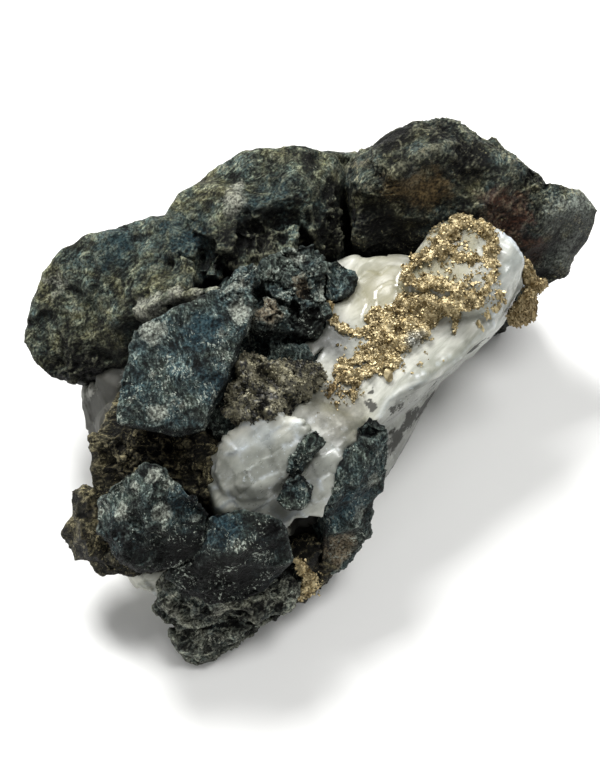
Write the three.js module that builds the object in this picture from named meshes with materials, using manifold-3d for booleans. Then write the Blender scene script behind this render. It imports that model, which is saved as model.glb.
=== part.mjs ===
// Native silver on calcite: a piece of vein breccia. Broken blocks of dark green-black rock are
// cemented by white calcite, and a crust of small silver crystals has grown on the open calcite.
// Millimetres, +Z up. It lies on its trimmed base, and its silver face looks up and towards -Y.

import * as THREE from "three";
import { ConvexGeometry } from "three/addons/geometries/ConvexGeometry.js";
import { ConvexHull } from "three/addons/math/ConvexHull.js";
import { ImprovedNoise } from "three/addons/math/ImprovedNoise.js";
import { mergeVertices } from "three/addons/utils/BufferGeometryUtils.js";
import Module from "manifold-3d";

const wasm = await Module();
wasm.setup();

// Driving dimensions.
const SEAM = 0.35; // open seam between one piece and the next
const FINENESS = 0.12; // detail smaller than this is left out of a block
const CEMENT_FINENESS = 0.22; // and of the calcite and silver
const BASE_SIZE = 300; // side of the block that trims the base
const FACE_TILT = THREE.MathUtils.degToRad(60); // how far the silver face looks up
const FACE_NORMAL = new THREE.Vector3(0, -Math.cos(FACE_TILT), Math.sin(FACE_TILT));
const CRUST_LEVEL = 35; // height at which the x and y of the silver's strands are given

const stone = (color, roughness) => new THREE.MeshStandardMaterial({ color, roughness, metalness: 0 });
const DARK_ROCK = stone(0x2b302f, 0.85);
const BROWN_ROCK = stone(0x3a342a, 0.9);
const CALCITE = stone(0xe4e2da, 0.35);
const GREY_MOSS = stone(0x5c5848, 0.8);
const SILVER = new THREE.MeshStandardMaterial({ color: 0xc9ad72, roughness: 0.35, metalness: 1 });

// ---- How a lump of stone is made ----

const FULLNESS = 1; // makes up for what the wear takes off a lump's faces
const perlin = new ImprovedNoise();

// Noise of two sizes, from about -1 to 1, with its swells `size` millimetres apart.
function unevenness(point, size, seed) {
  const [x, y, z] = point.toArray().map((value) => value / size + 7.3 * seed);
  return perlin.noise(x, y, z) + 0.5 * perlin.noise(2.3 * x, 2.3 * y, 2.3 * z);
}

// A block: the hull of its corners, with flat faces and sharp edges.
// `grow` moves every face out by that much, which makes the socket that the block sits in.
function blockGeometry(points, grow) {
  if (grow === 0) return new ConvexGeometry(points);
  const grown = [];
  for (const { normal, edge } of new ConvexHull().setFromPoints(points).faces) {
    for (let side = edge, i = 0; i < 3; side = side.next, i++) {
      grown.push(side.head().point.clone().addScaledVector(normal, grow));
    }
  }
  return new ConvexGeometry(grown);
}

// A lump: the same hull, with its edges worn round and its faces uneven.
function lumpGeometry(points, grow, { detail, wear, uneven, size, seed }) {
  const faces = new ConvexHull().setFromPoints(points).faces;
  const box = new THREE.Box3().setFromPoints(points);
  const centre = points.reduce((sum, p) => sum.add(p), new THREE.Vector3()).divideScalar(points.length);
  const half = box.getSize(new THREE.Vector3()).divideScalar(2);

  const geometry = new THREE.IcosahedronGeometry(1, detail);
  const position = geometry.getAttribute("position");
  const way = new THREE.Vector3();
  const point = new THREE.Vector3();
  for (let i = 0; i < position.count; i++) {
    way.fromBufferAttribute(position, i).multiply(half).normalize();
    let nearness = 0;
    for (const { normal, constant } of faces) {
      const facing = normal.dot(way);
      if (facing > 1e-3) nearness += Math.exp(-(constant - normal.dot(centre) + grow) / facing / wear);
    }
    const reach = wear * (FULLNESS - Math.log(nearness));
    point.copy(centre).addScaledVector(way, reach);
    point.addScaledVector(way, uneven * unevenness(point, size, seed));
    position.setXYZ(i, ...point.toArray());
  }
  return geometry;
}

function solidOf(geometry) {
  const bare = new THREE.BufferGeometry().setAttribute("position", geometry.getAttribute("position"));
  if (geometry.index) bare.setIndex(geometry.index);
  const closed = mergeVertices(bare, 1e-4);
  const vertProperties = closed.getAttribute("position").array;
  const triVerts = new Uint32Array(closed.index.array);
  return new wasm.Manifold(new wasm.Mesh({ numProp: 3, vertProperties, triVerts }));
}

const fused = (solids) => solids.reduce((whole, next) => whole.add(next));

// One stone from its lumps and blocks: those that give a `detail` are worn.
function stoneOf(list, grow = 0) {
  const parts = list.map(({ corners, ...worn }) => {
    const points = corners.map((corner) => new THREE.Vector3(...corner));
    return solidOf(worn.detail ? lumpGeometry(points, grow, worn) : blockGeometry(points, grow));
  });
  return fused(parts);
}

// ---- Shoulder: the two rounded blocks grown together at the back left ----

const shoulder = [
  {
    corners: [
      [-21.5, 30, 41], [-30, 29, 40], [-37.4, 28.4, 37], [-40.6, 24.6, 34],
      [-42.6, 22.6, 31], [-46.1, 21, 29], [-47, 15, 25], [-46, 12.5, 23.5],
      [-43.5, 10, 21], [-40, 9, 20], [-36.5, 9, 18], [-42, 12, 24],
      [-36, 11.5, 28], [-29.5, 12.5, 32.5], [-26, 15, 35.5], [-22, 17.5, 37.5],
      [-16.5, 19.5, 38], [-20, 24, 41.5], [-28, 22, 39], [-16, 28, 42],
      [-38, 14, 11], [-24, 10, 14], [-14, 16, 14], [-14, 32, 14],
      [-28, 31, 8], [-37, 27, 15], [-43, 22, 19], [-30, 11, 18],
    ],
    detail: 4, wear: 0.5, uneven: 1.0, size: 8, seed: 1,
  },
  {
    corners: [
      [-22.8, 30.2, 39.5], [-19.8, 34.8, 41], [-16, 37, 42], [-10.8, 41.8, 43.5],
      [-8, 42, 43.5], [0, 41, 44.5], [4, 41, 44], [6.5, 40, 42.5],
      [8, 40, 41.5], [7.5, 34, 40], [6.5, 29, 36], [4, 32.5, 43],
      [0, 29.5, 44.5], [-6, 28, 45], [-12, 28.5, 44.5], [-16, 24, 42],
      [-14, 22, 36], [-6, 22.5, 36], [4, 24, 34], [7, 27, 34],
      [-17, 38, 27], [-5, 44.5, 25], [5.5, 43, 15], [-13, 40, 7],
      [2, 39, -2], [-13, 35, -2], [-18, 24, 4], [5, 27, 4], [-2, 22, 20],
    ],
    detail: 4, wear: 0.4, uneven: 0.8, size: 7, seed: 2,
  },
  {
    corners: [
      [3, 42, 41], [6.5, 41, 41.5], [9.5, 41.5, 40], [9.5, 40, 36.5],
      [4, 37, 35], [9, 37, 31], [4, 36, 20], [11, 36, 20],
      [4, 43, 38], [10.5, 43, 37], [4, 43.5, 12], [13, 43.5, 12],
    ],
  },
];

// ---- Crag: the big block at the back right, which runs out to a point ----

const crag = [
  {
    corners: [
      [8.6, 39.2, 43.5], [14, 41.2, 45.5], [22, 45, 46.5], [27.5, 44.5, 47],
      [32.4, 42.2, 46], [38.6, 38.4, 42.5], [28, 37.5, 48], [17, 35.5, 47.5],
      [8.5, 33, 43], [8.5, 25.5, 32], [17, 25.5, 31], [41, 35.5, 40],
      [42, 27, 25], [37, 29, 34], [13, 44, 30], [24, 48.5, 27],
      [34, 47, 19], [41.5, 41, 14], [20, 45.5, 3], [33, 41, -2],
      [12, 40, -2], [37, 32, -2], [14, 27, 6], [39, 27, 10],
    ],
    detail: 4, wear: 0.4, uneven: 0.9, size: 8, seed: 3,
  },
  {
    corners: [
      [40, 36.5, 40.5], [44.2, 37.4, 37.5], [47.7, 36.9, 35.5], [50.6, 35.2, 33.5],
      [50.5, 34, 31.5], [49.5, 33, 28], [46, 30.5, 24.5], [42, 27.5, 21],
      [40, 31, 38], [38, 28, 27], [38, 40, 18], [46, 38, 22],
    ],
  },
];

// ---- Slab: the flat tabular block that leans on the middle ----

const slab = [
  {
    corners: [
      [-7, 14.5, 46], [-15.5, 9, 46], [-21, 7, 45.5], [-25, 5.5, 44.5],
      [-27, 2.5, 43.5], [-28.5, -3.5, 42.5], [-28.5, -10, 40], [-14.5, -11, 39.5],
      [-14, -6.5, 42], [-10.5, -1, 43], [-8, 4, 45], [-7.5, 9.5, 45.5],
      [-9, 13, 37], [-25, 4, 34], [-27, -8, 35], [-14.5, -9, 35],
      [-10.5, 0, 36],
    ],
  },
];

// ---- Middle knots: small rough blocks between the slab and the calcite ----

const knots = [
  {
    corners: [
      [-26, 12, 34], [-12, 20, 35], [4, 24, 33], [8, 19, 31], [3, 9, 31],
      [2, 2, 31], [-3, -6, 31], [-12, -7, 32], [-26, -6, 30], [-28, 8, 20],
      [-10, 24, 18], [6, 20, 20], [-24, -6, 20], [-4, -6, 22],
    ],
  },
  {
    corners: [
      [-6, 19, 42], [-2.5, 22, 42.5], [2.5, 23, 41.5], [4, 18, 39.5],
      [3, 14, 38], [-2.5, 13, 40], [-6, 14, 41], [-5, 20, 28], [4, 24, 28], [4, 14, 28], [-5, 12, 28],
    ],
  },
  {
    corners: [
      [-1.5, 14.5, 40], [3, 15, 39], [4.5, 12.5, 36], [3, 10, 34.5],
      [-1, 9.5, 35.5], [-2.5, 12, 37], [-2, 15, 29], [4, 14, 29], [1, 10, 29],
    ],
  },
  {
    corners: [
      [-8, 9, 41.5], [-5.5, 11.5, 42.5], [-2.5, 9.5, 41.5], [-1.5, 8, 37.5],
      [-3, 7, 36], [-7, 7.5, 36.5], [-8, 12, 33], [-2, 12, 33],
    ],
  },
  {
    corners: [
      [-5.5, 7, 36.5], [1, 7.5, 35], [2, 5, 33.5], [-1.5, 3, 34.5],
      [-6, 4, 35.5], [-5, 10, 29], [2, 9, 29], [-2, 4, 29],
    ],
  },
];

const wedge = [
  {
    corners: [
      [3.5, 22, 35.5], [6, 23.5, 36], [9, 21.5, 35], [8.5, 19, 34],
      [6, 17, 33.5], [3.5, 17.5, 34.5], [4, 22, 28], [8, 21, 28], [5, 17, 28],
    ],
  },
];

// ---- Ledge, knob, brow and foot: the blocks stacked down the front left ----

const ledge = [
  {
    corners: [
      [-33.5, -7, 30], [-15, -7.5, 31.5], [-14, -13.5, 28.5], [-33.5, -12.5, 24],
      [-34.5, -14, 20], [-33, -22, 9.5], [-28.5, -22.5, 10.5], [-24, -22.5, 13.5], [-18, -23, 15],
      [-30, 4, 26], [-14, 4, 26], [-28, -4, 8], [-14, -8, 6],
      [-30, -17, 8], [-18, -18, 9],
    ],
  },
  {
    corners: [
      [-34, -12, 23], [-37.5, -14.5, 18.5], [-39.5, -16.5, 14], [-37, -19, 10.5],
      [-33, -16, 22], [-32, -21, 10], [-31, -10, 12], [-36, -12, 12],
    ],
  },
];

const knob = [
  {
    corners: [
      [-24, -14.5, 36], [-21.5, -15, 36.5], [-15.5, -19, 33], [-14, -20.5, 30],
      [-16.5, -25.5, 26], [-19, -26.5, 24.5], [-23.5, -27.5, 24.5], [-28.5, -25.5, 25.5],
      [-32, -21.5, 26.5], [-31.5, -18, 30], [-29, -16, 33], [-23, -21, 36.5],
      [-30, -16, 20], [-16, -15, 22], [-18, -23, 19], [-27, -23, 18],
    ],
  },
];

const brow = [
  {
    corners: [
      [-14, -20.5, 29.5], [-10, -19.5, 30.5], [-6.5, -20.5, 30.5], [-3, -21, 29.5],
      [-2, -24, 26.5], [-2, -26.5, 22], [-5.5, -29, 18.5], [-9.5, -30.5, 17.5],
      [-13.5, -30.5, 18], [-17.5, -29.5, 19.5], [-21.5, -27.5, 21.5], [-9.5, -26, 29],
      [-14, -18, 16], [-4, -18, 16], [-4, -24, 14], [-18, -26, 15],
    ],
  },
];

const foot = [
  {
    corners: [
      [-23.3, -29, 16], [-13.5, -29, 16.5], [-4, -27.5, 15.5], [1, -25.5, 11.5],
      [-23.8, -30, 10], [-16, -32, 10.5], [-5, -30, 9.5], [-20, -16, 14],
      [-2, -16, 13], [-20, -18, 5], [0, -18, 5], [-20, -28, 6],
    ],
    detail: 2, wear: 0.7, uneven: 0.7, size: 4, seed: 15,
  },
  {
    corners: [
      [-20.5, -30.5, 7.5], [-20.8, -32.5, 3], [-16.5, -34, 0.5], [-12.5, -32.5, 1],
      [-9, -30.2, 1.5], [-4, -28, 2.5], [-17, -31.5, 9], [-8, -31, 8.5],
      [0.5, -26, 7], [-18, -18, 1], [-2, -18, 1], [-14, -24, -3],
    ],
    detail: 2, wear: 0.8, uneven: 0.6, size: 4, seed: 16,
  },
];

// ---- Side block and hollow block: the two at the front right, either side of a deep hollow ----

const side = [
  {
    corners: [
      [9, -8, 31], [14.5, -8, 28], [13.5, -11.5, 21], [11.5, -16, 15],
      [10, -18, 12], [7.5, -20, 9], [3.5, -21, 9], [4, -17, 24.5],
      [6.5, -13.5, 29.5], [2, -8, 22], [2, -8, 8], [12, -2, 10],
      [14, -4, 20], [8, -14, 5],
    ],
  },
  {
    corners: [
      [9, -6.5, 32.5], [11, -5.5, 34], [14, -6, 32.5], [15, -8.5, 28],
      [12.5, -11, 26.5], [9.5, -9.5, 29], [10, -4, 24], [14, -5, 24],
    ],
  },
];

const hollowBlock = [
  {
    corners: [
      [-2.5, -21, 15], [4, -18.5, 16], [8, -19.5, 10], [4, -22, 7.5],
      [2.5, -23.5, 6.5], [-3, -26.5, 6.5], [-3, -16, 12], [6, -14, 10],
      [0, -16, 2], [5, -18, 3],
    ],
  },
];

// ---- Chips: splinters of the rock set in the lower calcite ----

const chipUpper = [
  {
    corners: [
      [0.5, -9, 35], [3, -7.5, 34.5], [4, -9.5, 33.5], [2.5, -11.5, 32.5],
      [-2, -14, 32], [0.5, -13.5, 31.5], [-1, -12.5, 33], [1, -10, 28], [-1, -13, 28],
    ],
  },
];

const chipLower = [
  {
    corners: [
      [0, -14, 32], [2.5, -16, 31], [2, -18, 29.5], [-1.5, -19, 28.5],
      [-4, -18, 29.5], [-3, -16, 31], [-2, -15, 32], [-1, -16, 25], [1, -16, 25],
    ],
  },
];

// ---- Grey moss: the granular crust of tarnished metal under the slab's right edge ----

const moss = [
  {
    corners: [
      [-10.5, 3.5, 40], [-6.5, 4, 39.5], [0, 2.5, 37], [4.5, 3.5, 35.5],
      [5, 2, 35], [3, -0.5, 34.5], [-1.5, -5, 35], [-4.5, -7, 35.5],
      [-10.5, -6.5, 38], [-12, -2.5, 39.5], [-8, -1, 41], [-10, 3, 32],
      [4, 3, 30], [-4, -6, 30], [-11, -6, 32],
    ],
    detail: 3, wear: 0.6, uneven: 1.3, size: 2.6, seed: 22,
  },
];

// ---- Calcite: the white cement that holds every block, open on the silver face ----

const calcite = [
  {
    corners: [
      [-37, 12, 15], [-37.5, 9.5, 13], [-37, 6.5, 10], [-36, 3.5, 8],
      [-34.5, 3, 11], [-33, 4.5, 15], [-31.5, 7.5, 24], [-35, 11, 22],
      [-36, 12, 1], [-34.5, 3, 1], [-28, -4, 2], [-24, 4, 14], [-26, 14, 10], [-30, 10, 26],
    ],
    detail: 2, wear: 0.4, uneven: 0.4, size: 7, seed: 31,
  },
  {
    corners: [
      [-29, -21, 8], [-26.5, -21.5, 10.5], [-23, -21.5, 11], [-20.5, -23, 10],
      [-21.5, -23.5, 7], [-24, -23.5, 5], [-26, -22.5, 5], [-28.5, -21.5, 6],
      [-28, -14, 3], [-20, -14, 3], [-24, -12, 14],
    ],
    detail: 1, wear: 0.4, uneven: 0.2, size: 5, seed: 32,
  },
  {
    corners: [
      [-33, 12, -2], [-30, -6, -2], [-23, -18, -2], [-8, -19, -2],
      [6, -14, -2], [11.5, 4.5, -2], [15.5, 12, -2], [27, 24, -2],
      [28, 36, -2], [0, 37, -2], [-24, 30, -2], [-25.5, -23, 8.5],
      [-21, -26.5, 7.5], [-35.5, 2, 14], [-34, -7, 16], [-33.5, 7, 24],
      [-26, 22, 26], [0, 36, 26], [34, 36, 20], [29, 20, 15],
      [14.5, 4.5, 13], [11, -3.5, 13], [2, -14, 13],
    ],
    detail: 2, wear: 0.6, uneven: 0.7, size: 8, seed: 23,
  },
  {
    corners: [
      [8.5, 25.5, 33.5], [-4, 18, 34], [-3, 8.5, 33], [-4, -2, 32],
      [5, -4, 31], [13.5, -4.5, 29.5], [17, -1.5, 29.5], [21.5, 3, 29.5],
      [26, 7.5, 30], [30.5, 12, 30.5], [35, 17, 30.5], [39, 22, 30],
      [36, 31, 30], [13.5, 0, 14], [16.5, 5, 13], [22, 10.5, 13],
      [27.5, 14.5, 13], [31.5, 20, 14], [36, 25, 18], [34, 36, 16],
      [0, 34, 14], [-6, 0, 14], [2, -6, 16],
    ],
    detail: 4, wear: 0.6, uneven: 0.6, size: 7, seed: 27,
  },
  {
    corners: [
      [22, 28.5, 38.5], [30, 29, 39], [33, 27.5, 38.5], [37, 24, 36.5],
      [38.5, 21, 32], [26, 16.5, 36.5], [21, 15.5, 35], [34, 15.5, 31],
      [16, 20, 34], [20, 22, 24], [34, 22, 22], [26, 32, 28],
    ],
    detail: 3, wear: 0.8, uneven: 0.7, size: 6, seed: 24,
  },
  {
    corners: [
      [-14, -15.5, 28.5], [-11, -18.5, 26.5], [-2.5, -20, 25.5], [3.5, -18, 25],
      [7, -12, 28.5], [13, -5, 29.5], [5, -1, 32], [-3, -3, 33],
      [-14, -8, 30], [-14, -15, 14], [2, -16, 14], [12, -6, 14], [-10, 0, 16],
    ],
    detail: 2, wear: 0.6, uneven: 0.5, size: 6, seed: 28,
  },
  {
    corners: [
      [-12, -9, 33.5], [-6, -5, 35.5], [-1, -5.5, 35.5], [2, -8, 34.5],
      [-2, -13, 33], [-7, -18, 29], [-13.5, -15, 30], [-10, -10, 22], [0, -12, 22],
    ],
    detail: 2, wear: 0.6, uneven: 0.5, size: 5, seed: 25,
  },
];

// The deep hollow between the brow and the side block.
const hollow = [
  {
    corners: [
      [-2.5, -26, 25], [1.5, -25, 27], [5, -24, 24], [5, -25, 18],
      [1, -27, 13], [-3, -26, 16], [-2, -13, 22], [4, -12, 21], [3, -13, 15], [-1, -13, 14],
    ],
    detail: 1, wear: 0.6, uneven: 0.5, size: 5, seed: 29,
  },
];

// ---- Silver: a crust of small crystals strung along strands that follow the calcite ----

// Strands of the main crust, each with its half-width and the x and y of its bends.
const crustStrands = [
  { width: 1.3, bends: [[25.2, 31], [27.3, 32.5], [28.2, 31]] },
  { width: 1.3, bends: [[22, 26.4], [24.3, 29], [26.5, 30.4], [28.9, 30.8], [31, 29.6], [31.8, 28]] },
  { width: 1.1, bends: [[31, 29.6], [31.8, 26], [31.9, 22.4], [31, 19], [29.5, 16.5]] },
  { width: 0.9, bends: [[24.3, 29], [24.6, 25], [26.6, 23.6], [28.6, 24.4], [30.2, 23.6], [31.8, 24]] },
  { width: 1.2, bends: [[17.3, 20.8], [19.1, 23.6], [21.3, 25], [23.3, 25.6], [24.6, 25.6]] },
  { width: 1.3, bends: [[17.3, 20.8], [18.4, 19], [21.4, 19.4], [24.7, 18.4], [27.1, 17.2], [29.5, 16.5]] },
  { width: 1.3, bends: [[20, 16.1], [22.9, 15.1], [25.9, 15.5], [29.1, 14.8], [29.5, 16.5]] },
  { width: 0.9, bends: [[25.4, 15.5], [25.7, 12.2], [25.5, 9.9]] },
  { width: 1.5, bends: [[11.7, 12.6], [14.4, 13.8], [17.2, 15.1], [20, 16.1]] },
  { width: 1.6, bends: [[11, 9.9], [14.6, 10.3], [18.2, 11.8], [21.2, 13.8], [22.9, 15.1]] },
  { width: 1.6, bends: [[11.6, 7.4], [15.4, 7.8], [19.1, 9.3], [20.8, 11.3], [20.8, 13.4]] },
  { width: 1.0, bends: [[4.6, 16.1], [5.1, 13.6], [6.2, 11.1], [8.4, 9.7], [11, 9.9]] },
  { width: 1.3, bends: [[17, 8.2], [16.1, 6.1], [13.2, 5], [10.5, 5.6], [8, 4.2], [6.1, 2.8]] },
  { width: 1.2, bends: [[15.6, 5.6], [15.2, 3.1], [12.5, 2.8], [9.6, 1.8], [7.2, 0.9]] },
  { width: 0.8, bends: [[7.2, 2.4], [5.6, 0.2], [4.8, -1.9]] },
  { width: 0.8, bends: [[9.6, 1.3], [8.3, -0.9], [8.6, -2.4]] },
];

// The nub: a bead that hangs past the calcite's edge, the neck that it hangs by, and a spur.
const nub = [
  {
    corners: [
      [34.4, 19.2, 28], [35, 18.4, 30.4], [37.2, 18.2, 31.2], [39.2, 19, 30.2], [39.8, 19.6, 27.8],
      [39.3, 18.4, 25.4], [36.8, 16.8, 25], [34.6, 17.4, 26.4], [35.4, 21, 28], [38.8, 21, 28.5],
    ],
    detail: 2, wear: 0.3, uneven: 0.3, size: 2, seed: 33,
  },
  {
    corners: [
      [36.4, 18, 30], [38.8, 18.6, 30], [39.4, 21.5, 31.6], [38.9, 25, 33.2], [37.3, 25, 33.8],
      [36.4, 22.5, 33.6], [36.2, 19.5, 32.8], [38.4, 21.5, 29.4], [38, 25, 31.4],
    ],
    detail: 2, wear: 0.3, uneven: 0.4, size: 2, seed: 34,
  },
  {
    corners: [
      [38, 20.6, 31.6], [38.2, 22.6, 32.4], [41, 21.6, 31.4], [41.4, 22.4, 30.6],
      [39.4, 20.6, 29.6], [38.4, 22.4, 29.6],
    ],
  },
];

const toeStrands = [{ width: 1.4, bends: [[0, -33.6], [1.2, -35], [0.4, -36.2]] }];

const STRAND_STEP = 3; // length of the crystals that make up a strand
const OVERHANG = 1.3; // how far each reaches past its neighbours, as a share of that

// Seeded random numbers from 0 to 1, so that every build is the same.
function randomNumbers(seed) {
  return () => {
    seed = (seed * 1664525 + 1013904223) % 4294967296;
    return seed / 4294967296;
  };
}

// Stubby octahedra joined end to end, each laid where the line of sight meets the ground.
function crust(strands, ground, seed) {
  const random = randomNumbers(seed);
  const ray = new THREE.Raycaster();
  const down = FACE_NORMAL.clone().negate();
  const crystals = [];
  for (const { width, bends } of strands) {
    const plan = new THREE.CurvePath();
    const corners = bends.map(([x, y]) => new THREE.Vector3(x, y, CRUST_LEVEL));
    corners.slice(1).forEach((corner, i) => plan.add(new THREE.LineCurve3(corners[i], corner)));
    const steps = Math.max(2, Math.ceil(plan.getLength() / STRAND_STEP));
    const laid = plan.getSpacedPoints(steps).map((start) => {
      ray.set(start.addScaledVector(FACE_NORMAL, 60), down);
      return ray.intersectObjects(ground)[0].point.addScaledVector(FACE_NORMAL, 0.4 * width);
    });
    laid.slice(1).forEach((end, i) => {
      const along = end.clone().sub(laid[i]);
      const crystal = new THREE.OctahedronGeometry(1, 0);
      const girth = width * (1.1 + 0.6 * random());
      crystal.scale(girth, (OVERHANG * along.length()) / 2 + 0.6 * girth, girth);
      crystal.rotateY(Math.PI * random());
      crystal.applyQuaternion(
        new THREE.Quaternion().setFromUnitVectors(new THREE.Vector3(0, 1, 0), along.clone().normalize()),
      );
      crystal.translate(...laid[i].clone().add(end).multiplyScalar(0.5).toArray());
      crystals.push(solidOf(crystal));
    });
  }
  return fused(crystals);
}

// ---- Putting it together: each piece is cut to sit, with an open seam, on those before it ----

const specimen = new THREE.Group();
const sockets = [];
const belowBase = solidOf(new THREE.BoxGeometry(BASE_SIZE, BASE_SIZE, BASE_SIZE).translate(0, 0, -BASE_SIZE / 2));

function meshOf(name, solid, material) {
  const { vertProperties, triVerts } = solid.getMesh();
  const geometry = new THREE.BufferGeometry();
  geometry.setAttribute("position", new THREE.BufferAttribute(vertProperties, 3));
  geometry.setIndex(new THREE.BufferAttribute(triVerts, 1));
  geometry.computeVertexNormals();
  const mesh = new THREE.Mesh(geometry, material);
  mesh.name = name;
  return mesh;
}

function place(name, whole, grown, material, fineness = FINENESS) {
  const cut = sockets.reduce((rest, socket) => rest.subtract(socket), whole.subtract(belowBase));
  const [largest] = cut.simplify(fineness).decompose().sort((a, b) => b.volume() - a.volume());
  const mesh = meshOf(name, largest, material);
  specimen.add(mesh);
  sockets.push(grown);
  return mesh;
}

const placeStone = (name, list, material) => place(name, stoneOf(list), stoneOf(list, SEAM), material);
const placeHollowed = (name, list, pit, material) => {
  place(name, stoneOf(list).subtract(stoneOf(pit)), stoneOf(list, SEAM), material, CEMENT_FINENESS);
};

placeStone("slab_block", slab, DARK_ROCK);
placeStone("knob_block", knob, DARK_ROCK);
placeStone("brow_block", brow, DARK_ROCK);
placeStone("shoulder_block", shoulder, DARK_ROCK);
placeStone("crag_block", crag, DARK_ROCK);
placeStone("side_block", side, DARK_ROCK);
placeStone("ledge_block", ledge, BROWN_ROCK);
placeStone("foot_block", foot, DARK_ROCK);
placeStone("middle_knots", knots, DARK_ROCK);
placeStone("wedge_block", wedge, DARK_ROCK);
placeStone("hollow_block", hollowBlock, BROWN_ROCK);
placeStone("upper_chip", chipUpper, DARK_ROCK);
placeStone("lower_chip", chipLower, DARK_ROCK);
placeHollowed("calcite", calcite, hollow, CALCITE);
placeStone("grey_moss", moss, GREY_MOSS);

const ground = [...specimen.children];
const silver = (name, solid) => place(name, solid, solid, SILVER, CEMENT_FINENESS);
silver("silver_crust", crust(crustStrands, ground, 1));
silver("silver_nub", stoneOf(nub));
silver("silver_toe", crust(toeStrands, ground, 4));

// The origin is under the middle of the specimen, on the surface that it rests on.
const bounds = new THREE.Box3().setFromObject(specimen);
const middle = bounds.getCenter(new THREE.Vector3());
specimen.position.set(-middle.x, -middle.y, -bounds.min.z);

export default specimen;
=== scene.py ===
"""Native silver on calcite, with the dark rock that the calcite cements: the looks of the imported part."""

import math

import bmesh
import bpy
import numpy as np
from mathutils import Euler, Matrix, Vector
from mathutils.bvhtree import BVHTree


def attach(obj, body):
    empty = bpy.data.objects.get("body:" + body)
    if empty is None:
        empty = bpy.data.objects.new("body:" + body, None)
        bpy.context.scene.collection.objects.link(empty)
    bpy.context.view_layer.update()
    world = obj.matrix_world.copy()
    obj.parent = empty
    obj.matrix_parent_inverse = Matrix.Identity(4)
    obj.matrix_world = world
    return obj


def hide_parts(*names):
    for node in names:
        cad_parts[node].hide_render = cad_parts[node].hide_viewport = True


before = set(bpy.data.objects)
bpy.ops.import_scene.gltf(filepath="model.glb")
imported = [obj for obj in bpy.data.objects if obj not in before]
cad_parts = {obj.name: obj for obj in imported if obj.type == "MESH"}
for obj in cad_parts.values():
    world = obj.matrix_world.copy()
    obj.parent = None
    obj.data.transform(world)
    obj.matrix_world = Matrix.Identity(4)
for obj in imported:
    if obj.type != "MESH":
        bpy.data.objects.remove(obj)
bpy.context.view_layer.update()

# Camera: looks down at the silver face, whose middle stands 34 mm above the cut base, from about
# 0.3 m away. The long lens keeps the near rock from looking larger than it is.
MM = 0.001
VIEW_ELEVATION = math.radians(60)
LENS_MM = 85.0
SENSOR_MM = 36.0
VIEW_HEIGHT = 124.16 * MM  # height of the view at the silver face
AIM = Vector((-2.1, -7.4, 34.0)) * MM

camera_data = bpy.data.cameras.new("camera")
camera_data.lens = LENS_MM
camera_data.sensor_width = SENSOR_MM
camera = bpy.data.objects.new("camera", camera_data)
view_line = Vector((0, -math.cos(VIEW_ELEVATION), math.sin(VIEW_ELEVATION)))
camera.location = AIM + VIEW_HEIGHT * LENS_MM / SENSOR_MM * view_line
camera.rotation_euler = (math.pi / 2 - VIEW_ELEVATION, 0, 0)
bpy.context.collection.objects.link(camera)
bpy.context.scene.camera = camera

# Shoulder: two rounded blocks of wall rock grown together at the back left. The rock is dark and
# fine-grained, and olive grey from the chlorite in it. It broke along uneven faces long ago, and
# then it wore.
LATTICE = 64  # cells before a random pattern repeats; a power of two, so that & wraps round it
PAINTED_LIGHT_SIDE = np.array([-0.15, 0.45, 0.88])  # the way that the faces painted lightest look; faces turned away get painted shade


def swells(points, size_mm, seed, octaves=1, fall=0.5, crested=False):
    """Unevenness from about -1 to 1, smooth or crested; each octave is half the size of the last."""
    slopes = np.random.default_rng(seed).normal(size=(LATTICE, LATTICE, LATTICE, 3))
    slopes /= np.linalg.norm(slopes, axis=3, keepdims=True)
    total = np.zeros(len(points))
    strength = 1.0
    for octave in range(octaves):
        scaled = points / (size_mm * MM) * 2**octave + 11.3 * octave  # moved on, so that no cells line up
        cell = np.floor(scaled).astype(np.int64)
        part = scaled - cell
        fade = part * part * part * (part * (part * 6 - 15) + 10)
        level = np.zeros(len(points))
        for corner in np.ndindex(2, 2, 2):
            x, y, z = ((cell + corner) & (LATTICE - 1)).T
            weight = np.prod(np.where(corner, fade, 1 - fade), axis=1)
            level += weight * ((part - corner) * slopes[x, y, z]).sum(axis=1)
        level *= 1.7  # because the sum seldom passes 0.6
        total += strength * (1 - 3 * np.abs(level) if crested else level)
        strength *= fall
    return total


def shaken(points, by_mm, size_mm, seed, octaves=2, fall=0.5):
    """Points moved about unevenly, so that a pattern on them wavers."""
    moves = [swells(points, size_mm, seed + k, octaves, fall) for k in range(3)]
    return points + by_mm * MM * np.stack(moves, axis=1)


def breaks(points, size_mm, seed, tilt=1.1, bowl=0.7):
    """Broken faces from about -1 to 1: nearly flat scallops that meet in crisp ridges."""
    grid = np.random.default_rng(seed).random((LATTICE, LATTICE, LATTICE, 7))
    scaled = points / (size_mm * MM)
    cell = np.floor(scaled).astype(np.int64)
    lowest = np.full(len(points), np.inf)
    for step in np.ndindex(3, 3, 3):
        there = cell + step - 1
        x, y, z = (there & (LATTICE - 1)).T
        value = grid[x, y, z]
        middle, slope, depth = value[:, :3], 2 * value[:, 3:6] - 1, value[:, 6]
        away = scaled - there - 0.1 - 0.8 * middle
        face = bowl * (away * away).sum(axis=1) + tilt * (away * slope).sum(axis=1)
        lowest = np.minimum(lowest, face + 0.6 * depth)
    return 2 * (lowest - 0.05)


def unit(direction):
    return np.array(direction) / np.linalg.norm(direction)


def with_modifier(piece, kind, **settings):
    """Makes the result of one modifier the piece's mesh."""
    modifier = piece.modifiers.new(kind.lower(), kind)
    for key, value in settings.items():
        setattr(modifier, key, value)
    solved = piece.evaluated_get(bpy.context.evaluated_depsgraph_get())
    mesh = bpy.data.meshes.new_from_object(solved)
    piece.modifiers.clear()
    piece.data = mesh


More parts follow.
